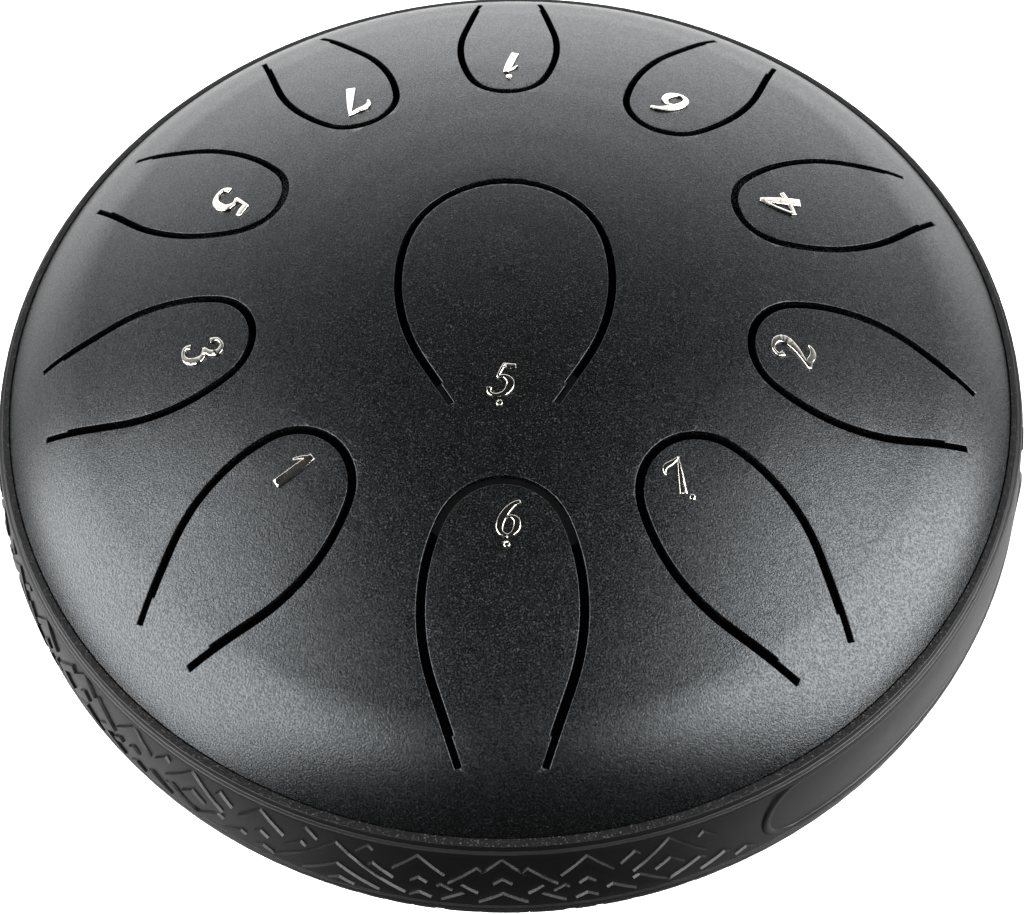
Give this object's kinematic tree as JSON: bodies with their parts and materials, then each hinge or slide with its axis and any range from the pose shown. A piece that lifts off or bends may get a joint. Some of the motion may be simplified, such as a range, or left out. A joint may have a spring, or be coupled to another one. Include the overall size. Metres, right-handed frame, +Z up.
{
  "type": "steel tongue drum",
  "caption": "Low domed percussion drum of two pressed steel shells, with tuned tongues cut in the top, a patterned rubber band round the rim, stuck-on note numbers and rubber feet.",
  "frame": {"origin": "centre of the bounding box at floor level, under the drum's axis, on the plane the feet stand on", "axes": "+Z up along the drum's axis; -Y towards the player, through the longest outer tongue; +X to the player's right"},
  "size_m": [0.264, 0.264, 0.107],
  "materials": {
    "shell_coat": "black powder coat with a fine sand grain, satin",
    "band_rubber": "moulded black rubber, satin",
    "foot_rubber": "plain black rubber, matt",
    "gasket_rubber": "dark grey rubber, matt",
    "plated_steel": "zinc-plated steel",
    "number_plate": "polished nickel, thin stuck-on plate"
  },
  "bodies": {
    "root": {"top_shell": "shell_coat", "bottom_shell": "shell_coat", "seam_gasket": "gasket_rubber", "rim_band": "band_rubber", "foot_front": "foot_rubber", "foot_right": "foot_rubber", "foot_left": "foot_rubber", "foot_screws": "plated_steel", "foot_washers": "plated_steel", "foot_nuts": "plated_steel", "number_centre_low_5": "number_plate", "number_front_low_6": "number_plate", "number_right_front_low_7": "number_plate", "number_left_front_1": "number_plate", "number_right_2": "number_plate", "number_left_3": "number_plate", "number_right_back_4": "number_plate", "number_left_back_5": "number_plate", "number_back_right_6": "number_plate", "number_back_left_7": "number_plate", "number_back_high_1": "number_plate"}
  },
  "joints": []
}
